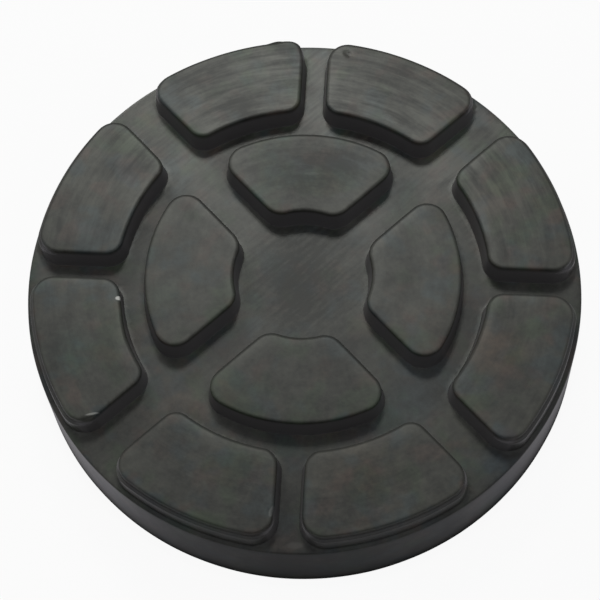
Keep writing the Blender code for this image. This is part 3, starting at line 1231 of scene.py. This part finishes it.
    def with_scuffs_and_shade(self, pad: PadSignals, colour: Signal, drift: Signal) -> Signal:
        """Return the colour with the scuffs, painted shade and painted highlight.

        Pale ones stay on the blocks' tops or on the floor.

        Args:
            pad: Where on the pad a point lies.
            colour: The colour without them.
            drift: What makes their outlines uneven.

        Returns:
            The colour with them.
        """
        raised = pad.height.between(*self.spot_height)
        for spot_mark in self.scuffs_and_painted_shade:
            reach = (spot_mark.length / 2, spot_mark.width / 2)
            weight = pad.spot(spot_mark.across, spot_mark.up, *reach, spot_mark.heading) + drift
            weight = weight.between(*self.spot_rise) * raised * abs(spot_mark.strength)
            where, spot_colour = (pad.floor if spot_mark.on_floor else pad.top), self.pale
            if spot_mark.strength < 0.0:
                where, spot_colour = 1 - pad.side, self.dark
            colour = pad.shading.mix(weight * where, colour, spot_colour)
        return colour


@dataclass(frozen=True)
class PhotoCamera:
    """The photograph's camera, fitted to the pad's rim and pattern. Angles are in degrees."""

    azimuth: float = 7.24
    elevation: float = 66.55
    roll: float = -4.41
    distance: float = 0.33425
    lens: float = 95.64
    sensor: float = 36.0
    nearest: float = 10.0 * MM
    aim: Pair = (-0.18 * MM, -6.34 * MM)

    def build(self, height: float) -> None:
        """Add the camera.

        Args:
            height: The height of the point that it is aimed at.
        """
        angles = (self.azimuth, self.elevation, self.roll)
        turn, rise, roll = (math.radians(angle) for angle in angles)
        level = math.cos(rise)
        back = Vector((math.sin(turn) * level, -math.cos(turn) * level, math.sin(rise)))
        beside = Vector((math.cos(turn), math.sin(turn), 0.0))
        upright = back.cross(beside)
        right = math.cos(roll) * beside + math.sin(roll) * upright
        upward = -math.sin(roll) * beside + math.cos(roll) * upright
        data = bpy.data.cameras.new("photo_camera")
        data.sensor_width = self.sensor
        data.lens = self.lens
        data.clip_start = self.nearest
        camera = bpy.data.objects.new("photo_camera", data)
        pose = Matrix((right, upward, back)).transposed().to_4x4()
        pose.translation = Vector((*self.aim, height)) + back * self.distance
        camera.matrix_world = pose
        bpy.context.scene.collection.objects.link(camera)
        bpy.context.scene.camera = camera


@dataclass(frozen=True)
class Lamp:
    """A round soft lamp that shines at the pad. Its angles are in degrees, from +X and the floor."""

    name: str
    azimuth: float
    elevation: float
    distance: float
    width: float
    power: float
    colour: Triple = (0.98, 1.0, 0.94)

    def build(self) -> None:
        """Add the lamp."""
        data = bpy.data.lights.new(self.name, "AREA")
        data.shape = "DISK"
        data.size = self.width
        data.energy = self.power
        data.color = self.colour
        lamp = bpy.data.objects.new(self.name, data)
        turn, rise = math.radians(self.azimuth), math.radians(self.elevation)
        level = math.cos(rise)
        toward = Vector((math.cos(turn) * level, math.sin(turn) * level, math.sin(rise)))
        lamp.location = toward * self.distance
        lamp.rotation_euler = toward.to_track_quat("Z", "Y").to_euler()
        bpy.context.scene.collection.objects.link(lamp)


@dataclass(frozen=True)
class Studio:
    """A pale floor, soft light and a white backdrop."""

    floor_radius: float = 3.0
    floor_corners: int = 96
    floor_drop: float = 0.05 * MM
    floor_tone: float = 0.6
    floor_glow: float = 0.94
    mirrored_glow: float = 0.42
    shade_start: float = -0.067
    shade_end: float = -0.031
    shade_turn: float = 0.10
    shade_lean: float = 0.02
    contact_shade: Pair = (0.0602, 0.0624)
    front_share: float = 0.15
    light_colour: Colour = (0.97, 0.98, 1.03, 1.0)
    mirrored_colour: Colour = (0.99, 0.95, 1.03, 1.0)
    backdrop_light: float = 0.47
    sky_tilt: float = 0.9
    sky_rise: Pair = (-0.8, 0.5)
    white: Colour = (1.0, 1.0, 1.0, 1.0)
    lamps: tuple[Lamp, ...] = (
        Lamp("window_light", azimuth=95.0, elevation=59.0, distance=0.6, width=0.11, power=0.68),
        Lamp("low_window_light", azimuth=120.0, elevation=36.0, distance=0.8, width=0.25, power=1.8),
    )

    def build(self) -> None:
        """Add the floor, the world and the lamps, and set plain colours."""
        self.floor()
        self.world()
        for lamp in self.lamps:
            lamp.build()
        bpy.context.scene.view_settings.view_transform = "Standard"

    def floor(self) -> None:
        """Lay the floor, which the camera sees as white with a faint shadow."""
        bpy.ops.mesh.primitive_circle_add(
            vertices=self.floor_corners, radius=self.floor_radius, fill_type="NGON",
        )
        floor = bpy.context.object
        floor.name = "floor"
        floor.location.z = -self.floor_drop
        pale = bpy.data.materials.new("pale_floor")
        shading = Shading(pale)
        rays = shading.node("ShaderNodeLightPath")
        _, across, up, _, radius = shading.position()
        away = radius - across.math("MAXIMUM", 0.0) * self.shade_lean
        beside = (up - across * self.shade_turn).between(self.shade_start, self.shade_end)
        beside = beside * away.between(*self.contact_shade)
        lit = radius.between(*self.contact_shade) * self.floor_tone
        tone = shading.node("ShaderNodeCombineColor", None, [lit, lit, lit])["Color"]
        matt = shading.node("ShaderNodeBsdfDiffuse", None, {"Color": tone})["BSDF"]
        glow = shading.node("ShaderNodeEmission", None, {"Color": self.white})["Emission"]
        tinted = shading.node("ShaderNodeEmission", None, {"Color": self.mirrored_colour})["Emission"]
        mirrored = rays["Is Glossy Ray"] * beside * self.mirrored_glow
        both = shading.node("ShaderNodeMixShader", None, [mirrored, matt, tinted])["Shader"]
        seen = rays["Is Camera Ray"] * self.floor_glow
        both = shading.node("ShaderNodeMixShader", None, [seen, both, glow])["Shader"]
        shading.node("ShaderNodeOutputMaterial", None, {"Surface": both})
        floor.data.materials.append(pale)

    def world(self) -> None:
        """Light the pad evenly from all round and show white behind it."""
        world = bpy.data.worlds.new("studio")
        shading = Shading(world)
        seen = shading.node("ShaderNodeLightPath")["Is Camera Ray"]
        direction = shading.node("ShaderNodeTexCoord")["Generated"]
        axes = shading.node("ShaderNodeSeparateXYZ", None, [direction])
        back = (axes["Y"] + axes["Z"] * self.sky_tilt).between(*self.sky_rise, self.front_share)
        level = back * self.backdrop_light
        light = shading.node("ShaderNodeBackground", None, [self.light_colour, level])["Background"]
        white = shading.node("ShaderNodeBackground", None, [self.white, 1.0])["Background"]
        both = shading.node("ShaderNodeMixShader", None, [seen, light, white])["Shader"]
        shading.node("ShaderNodeOutputWorld", None, {"Surface": both})
        bpy.context.scene.world = world


def main() -> None:
    """Build the pad, dress it, and set up the studio and the camera."""
    logging.basicConfig(level=logging.INFO, format="%(name)s: %(message)s")
    pad = RubberPad()
    surface = pad.build()
    surface.data.materials.append(CharcoalRubber().material())
    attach(surface, "root")
    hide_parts("rubber_pad")
    log.info("rubber pad: %d faces", len(surface.data.polygons))
    PhotoCamera().build(pad.sizes.height)
    Studio().build()


if __name__ == "__main__":
    main()
